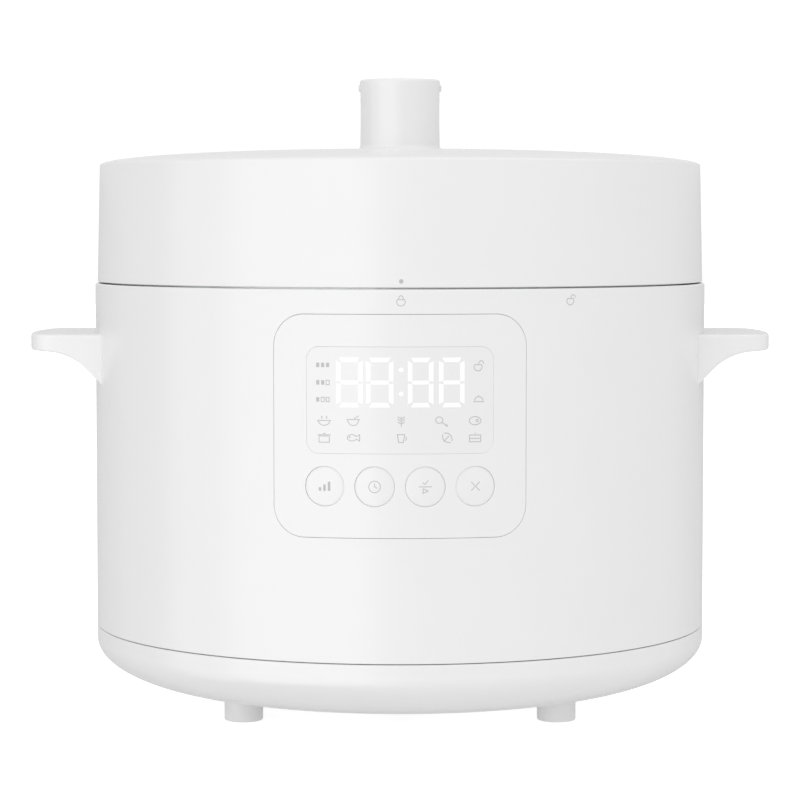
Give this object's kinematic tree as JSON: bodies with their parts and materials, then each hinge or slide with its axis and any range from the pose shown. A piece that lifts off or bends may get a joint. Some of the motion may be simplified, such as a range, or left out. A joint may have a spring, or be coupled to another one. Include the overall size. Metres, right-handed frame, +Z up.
{
  "type": "electric pressure cooker",
  "caption": "Round countertop electric pressure cooker with a twist-lock lid, centre knob with release button, two side handles, curved display panel with round buttons and small feet.",
  "frame": {"origin": "middle of the footprint, on the surface that the feet stand on", "axes": "+Z up along the body axis, the control panel faces -Y, the side handles lie along X"},
  "size_m": [0.33, 0.273, 0.2775],
  "materials": {
    "shell_white": "smooth white moulded plastic, soft satin gloss",
    "panel_white": "smooth white moulded plastic",
    "window_white": "milky display window that lets the digits shine through",
    "trim_white": "white inner mouldings",
    "foot_white": "soft pale rubber",
    "silicone": "translucent grey silicone",
    "steel": "brushed stainless steel",
    "zinc_steel": "zinc-plated fasteners and springs",
    "cast_aluminium": "machined cast aluminium",
    "dark_plastic": "black engineering plastic",
    "circuit_board": "green solder mask",
    "cable_grey": "flat ribbon insulation",
    "print_grey": "thin light grey printed marks",
    "display_light": "lit white segments"
  },
  "bodies": {
    "base_unit": {"outer_housing": "shell_white", "base_shell": "shell_white", "rim_ring": "trim_white", "foot_front_left": "foot_white", "foot_front_right": "foot_white", "foot_rear_right": "foot_white", "foot_rear_left": "foot_white", "handle_right": "shell_white", "handle_left": "shell_white", "handle_screw_right": "zinc_steel", "handle_screw_left": "zinc_steel", "base_screw_1": "zinc_steel", "base_screw_2": "zinc_steel", "base_screw_3": "zinc_steel", "control_panel": "panel_white", "display_window": "window_white", "display_module": "dark_plastic", "control_board": "circuit_board", "board_screw_left": "zinc_steel", "board_screw_right": "zinc_steel", "outer_pot": "steel", "heat_shield": "steel", "heating_plate": "cast_aluminium", "sensor_holder": "zinc_steel", "sensor_spring": "zinc_steel", "pressure_switch": "dark_plastic", "supply_board": "circuit_board", "control_cable": "cable_grey", "power_inlet": "dark_plastic", "inlet_pin_live": "zinc_steel", "inlet_pin_neutral": "zinc_steel", "inlet_pin_earth": "zinc_steel"},
    "sensor": {"temperature_sensor": "cast_aluminium"},
    "level_key": {"button_level": "panel_white"},
    "timer_key": {"button_timer": "panel_white"},
    "start_key": {"button_start": "panel_white"},
    "cancel_key": {"button_cancel": "panel_white"},
    "cooking_pot": {"inner_pot": "steel"},
    "seal": {"sealing_ring": "silicone"},
    "lid": {"lid_cover": "shell_white", "lid_liner": "trim_white", "inner_lid": "steel", "lid_screw_1": "zinc_steel", "lid_screw_2": "zinc_steel", "lid_screw_3": "zinc_steel", "stud_nut_1": "zinc_steel", "stud_nut_2": "zinc_steel", "stud_nut_3": "zinc_steel", "exhaust_pipe": "steel", "pipe_nut": "zinc_steel", "anti_block_shield": "steel", "float_gasket": "silicone", "safety_plug": "silicone", "lid_knob": "shell_white", "release_spring": "zinc_steel", "knob_screw_1": "zinc_steel", "knob_screw_2": "zinc_steel"},
    "release": {"release_button": "shell_white", "exhaust_valve": "steel"},
    "float": {"float_valve": "steel"}
  },
  "joints": [
    {"name": "pot_lift", "type": "slide", "parent": "base_unit", "child": "cooking_pot", "axis": [0, 0, 1], "range_m": [0, 0.16]},
    {"name": "lid_lift", "type": "slide", "parent": "cooking_pot", "child": "seal", "axis": [0, 0, 1], "range_m": [0, 0.2]},
    {"name": "lid_turn", "type": "hinge", "parent": "seal", "child": "lid", "pos_m": [0, 0, 0.187], "axis": [0, 0, 1], "range_deg": [0, 31]},
    {"name": "release_press", "type": "slide", "parent": "lid", "child": "release", "axis": [0, 0, -1], "range_m": [0, 0.003], "stiffness_N_per_m": 600, "springref_m": -0.004, "deforming": ["release_spring"]},
    {"name": "float_rise", "type": "slide", "parent": "lid", "child": "float", "axis": [0, 0, 1], "range_m": [0, 0.004]},
    {"name": "sensor_press", "type": "slide", "parent": "base_unit", "child": "sensor", "axis": [0, 0, -1], "range_m": [0, 0.002], "stiffness_N_per_m": 1200, "springref_m": -0.003, "deforming": ["sensor_spring"]},
    {"name": "level_press", "type": "slide", "parent": "base_unit", "child": "level_key", "axis": [0.2244, 0.9745, 0], "range_m": [0, 0.0006], "stiffness_N_per_m": 1500, "springref_m": -0.0006},
    {"name": "timer_press", "type": "slide", "parent": "base_unit", "child": "timer_key", "axis": [0.0754, 0.9972, 0], "range_m": [0, 0.0006], "stiffness_N_per_m": 1500, "springref_m": -0.0006},
    {"name": "start_press", "type": "slide", "parent": "base_unit", "child": "start_key", "axis": [-0.0754, 0.9972, 0], "range_m": [0, 0.0006], "stiffness_N_per_m": 1500, "springref_m": -0.0006},
    {"name": "cancel_press", "type": "slide", "parent": "base_unit", "child": "cancel_key", "axis": [-0.2244, 0.9745, 0], "range_m": [0, 0.0006], "stiffness_N_per_m": 1500, "springref_m": -0.0006}
  ]
}
